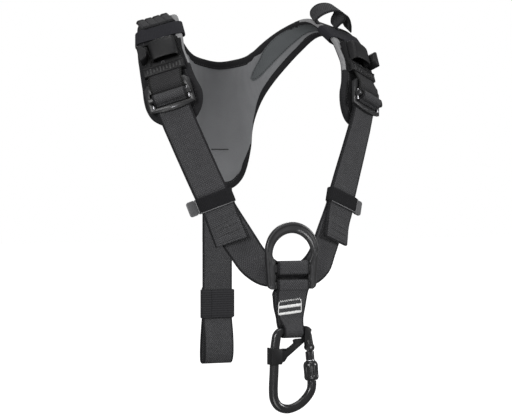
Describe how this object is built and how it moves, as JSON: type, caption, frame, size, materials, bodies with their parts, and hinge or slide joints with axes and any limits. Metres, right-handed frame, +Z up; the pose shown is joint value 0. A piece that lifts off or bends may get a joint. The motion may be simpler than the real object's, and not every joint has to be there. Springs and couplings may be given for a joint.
{
  "type": "climbing chest harness",
  "caption": "Padded yoke worn over both shoulders, with two buckled front straps that meet at a forged ring holding a screw-gate connector, and a rear strap.",
  "frame": {"origin": "inner face of the yoke at the nape, on the centre plane, where the neck's edge is", "axes": "+Z up, the wearer faces -Y, +X towards the wearer's left"},
  "size_m": [0.36, 0.2597, 0.5474],
  "materials": {
    "foam": "closed-cell foam with a knitted face",
    "binding": "ribbed binding tape",
    "webbing": "woven polyester webbing",
    "elastic": "woven elastic",
    "plastic": "moulded nylon",
    "tab_plastic": "moulded nylon, grey",
    "forged": "black coated light alloy",
    "satin_black": "satin black anodised light alloy",
    "steel": "brushed"
  },
  "bodies": {
    "harness": {"yoke_pad": "foam", "yoke_binding": "binding", "shoulder_band_left": "elastic", "shoulder_band_right": "elastic", "buckle_frame_left": "forged", "buckle_frame_right": "forged", "slide_bar_left": "forged", "slide_bar_right": "forged", "anchor_webbing_left": "webbing", "anchor_webbing_right": "webbing", "front_strap_left": "webbing", "front_strap_right": "webbing", "keeper_left": "elastic", "keeper_right": "elastic", "keeper_tab_left": "tab_plastic", "keeper_tab_right": "tab_plastic", "connector_pocket_left": "plastic", "connector_pocket_right": "plastic", "shoulder_loop_left": "webbing", "shoulder_loop_right": "webbing", "chest_ring": "forged", "ring_wrap": "webbing", "ventral_loop": "webbing", "rear_strap": "webbing", "rear_band": "elastic"},
    "carabiner": {"carabiner_body": "satin_black", "gate_pin": "steel", "positioning_bar": "plastic"},
    "gate": {"gate": "satin_black"},
    "sleeve": {"screw_sleeve": "satin_black"}
  },
  "joints": [
    {"name": "carabiner_swing", "type": "hinge", "parent": "harness", "child": "carabiner", "pos_m": [0, -0.23, -0.3617], "axis": [-1, 0, 0], "range_deg": [-40, 80]},
    {"name": "gate_open", "type": "hinge", "parent": "carabiner", "child": "gate", "pos_m": [0.02519, -0.23, -0.38348], "axis": [0, 1, 0], "range_deg": [0, 26], "stiffness_Nm_per_rad": 0.05, "springref_deg": -28.65},
    {"name": "sleeve_turn", "type": "hinge", "parent": "gate", "child": "sleeve", "pos_m": [0.02519, -0.23, -0.38348], "axis": [0.0838, 0, -0.9965], "range_deg": [0, 540]}
  ]
}
